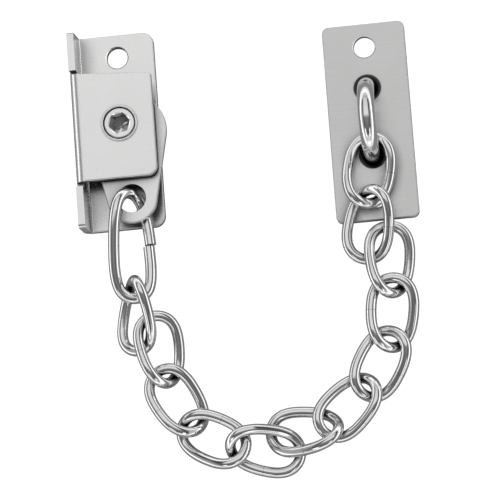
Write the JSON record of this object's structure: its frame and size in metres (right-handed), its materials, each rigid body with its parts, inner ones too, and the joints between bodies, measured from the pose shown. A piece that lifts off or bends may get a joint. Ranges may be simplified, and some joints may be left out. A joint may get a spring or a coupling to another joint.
{
  "type": "door chain guard",
  "caption": "Door chain guard: folded bracket with a key-locked swinging hasp, a long link and a chain of twisted links to a plate with a round staple.",
  "frame": {"origin": "on the axis of the bracket's upper screw hole, in the plane of the bracket's back face", "axes": "+Z out of the door, away from the back faces; +Y from the bracket's lower screw hole to its upper one; +X from the bracket to the staple plate"},
  "size_m": [0.1034, 0.1419, 0.017],
  "materials": {
    "plate_steel": "brushed nickel-plated sheet",
    "turned_steel": "plain turned steel",
    "plated_turning": "polished plating",
    "plated_rod": "polished plating",
    "plated_wire": "polished plating"
  },
  "bodies": {
    "bracket": {"bracket": "plate_steel", "insert_nut": "turned_steel", "collar_ring": "plated_turning", "back_washer": "turned_steel"},
    "lock_screw": {"lock_screw": "plated_turning", "front_washer": "turned_steel"},
    "hasp": {"hasp": "plate_steel", "hasp_bush": "turned_steel"},
    "long_link": {"long_link": "plated_wire"},
    "chain_link_01": {"chain_link_01": "plated_wire"},
    "chain_link_02": {"chain_link_02": "plated_wire"},
    "chain_link_03": {"chain_link_03": "plated_wire"},
    "chain_link_04": {"chain_link_04": "plated_wire"},
    "chain_link_05": {"chain_link_05": "plated_wire"},
    "chain_link_06": {"chain_link_06": "plated_wire"},
    "chain_link_07": {"chain_link_07": "plated_wire"},
    "chain_link_08": {"chain_link_08": "plated_wire"},
    "chain_link_09": {"chain_link_09": "plated_wire"},
    "chain_link_10": {"chain_link_10": "plated_wire"},
    "chain_link_11": {"chain_link_11": "plated_wire"},
    "chain_link_12": {"chain_link_12": "plated_wire"},
    "staple_plate": {"staple_plate": "plate_steel", "staple": "plated_rod"}
  },
  "joints": [
    {"name": "lock_screw_turn", "type": "hinge", "parent": "bracket", "child": "lock_screw", "pos_m": [0.001, -0.023, 0], "axis": [0, 0, 1], "range_deg": [-90, 90]},
    {"name": "hasp_swing", "type": "hinge", "parent": "bracket", "child": "hasp", "pos_m": [0.001, -0.023, 0], "axis": [0, 0, 1], "range_deg": [-8, 75]},
    {"name": "long_link_swing", "type": "hinge", "parent": "hasp", "child": "long_link", "pos_m": [0.0028, -0.046, 0], "axis": [0, 0, -1], "range_deg": [-25, 20]},
    {"name": "chain_link_01_swing", "type": "hinge", "parent": "long_link", "child": "chain_link_01", "pos_m": [0.00153, -0.07411, 0], "axis": [0, 0, 1], "range_deg": [-22, 9]},
    {"name": "chain_link_02_swing", "type": "hinge", "parent": "chain_link_01", "child": "chain_link_02", "pos_m": [0.00373, -0.08752, 0], "axis": [0, 0, -1], "range_deg": [-8, 7]},
    {"name": "chain_link_03_swing", "type": "hinge", "parent": "chain_link_02", "child": "chain_link_03", "pos_m": [0.00793, -0.10159, 0], "axis": [0, 0, 1], "range_deg": [-12, 18]},
    {"name": "chain_link_04_swing", "type": "hinge", "parent": "chain_link_03", "child": "chain_link_04", "pos_m": [0.01473, -0.11737, 0], "axis": [0, 0, -1], "range_deg": [-16, 13]},
    {"name": "chain_link_05_swing", "type": "hinge", "parent": "chain_link_04", "child": "chain_link_05", "pos_m": [0.02925, -0.12512, 0], "axis": [0, 0, 1], "range_deg": [-22, 10]},
    {"name": "chain_link_06_swing", "type": "hinge", "parent": "chain_link_05", "child": "chain_link_06", "pos_m": [0.04354, -0.12479, 0], "axis": [0, 0, -1], "range_deg": [-12, 7]},
    {"name": "chain_link_07_swing", "type": "hinge", "parent": "chain_link_06", "child": "chain_link_07", "pos_m": [0.058, -0.12176, 0], "axis": [0, 0, 1], "range_deg": [-18, 1]},
    {"name": "chain_link_08_swing", "type": "hinge", "parent": "chain_link_07", "child": "chain_link_08", "pos_m": [0.07005, -0.11009, 0], "axis": [0, 0, -1], "range_deg": [-5, 11]},
    {"name": "chain_link_09_swing", "type": "hinge", "parent": "chain_link_08", "child": "chain_link_09", "pos_m": [0.07862, -0.0962, 0], "axis": [0, 0, 1], "range_deg": [-10, 9]},
    {"name": "chain_link_10_swing", "type": "hinge", "parent": "chain_link_09", "child": "chain_link_10", "pos_m": [0.07995, -0.0799, 0], "axis": [0, 0, -1], "range_deg": [-10, 10]},
    {"name": "chain_link_11_swing", "type": "hinge", "parent": "chain_link_10", "child": "chain_link_11", "pos_m": [0.07604, -0.06599, 0], "axis": [0, 0, 1], "range_deg": [-15, 5]},
    {"name": "chain_link_12_swing", "type": "hinge", "parent": "chain_link_11", "child": "chain_link_12", "pos_m": [0.07499, -0.05222, 0], "axis": [0, 0, -1], "range_deg": [-22, 6]},
    {"name": "staple_plate_swing", "type": "hinge", "parent": "chain_link_12", "child": "staple_plate", "pos_m": [0.0769, -0.0385, 0], "axis": [0, 0, 1], "range_deg": [-12, 22]}
  ]
}
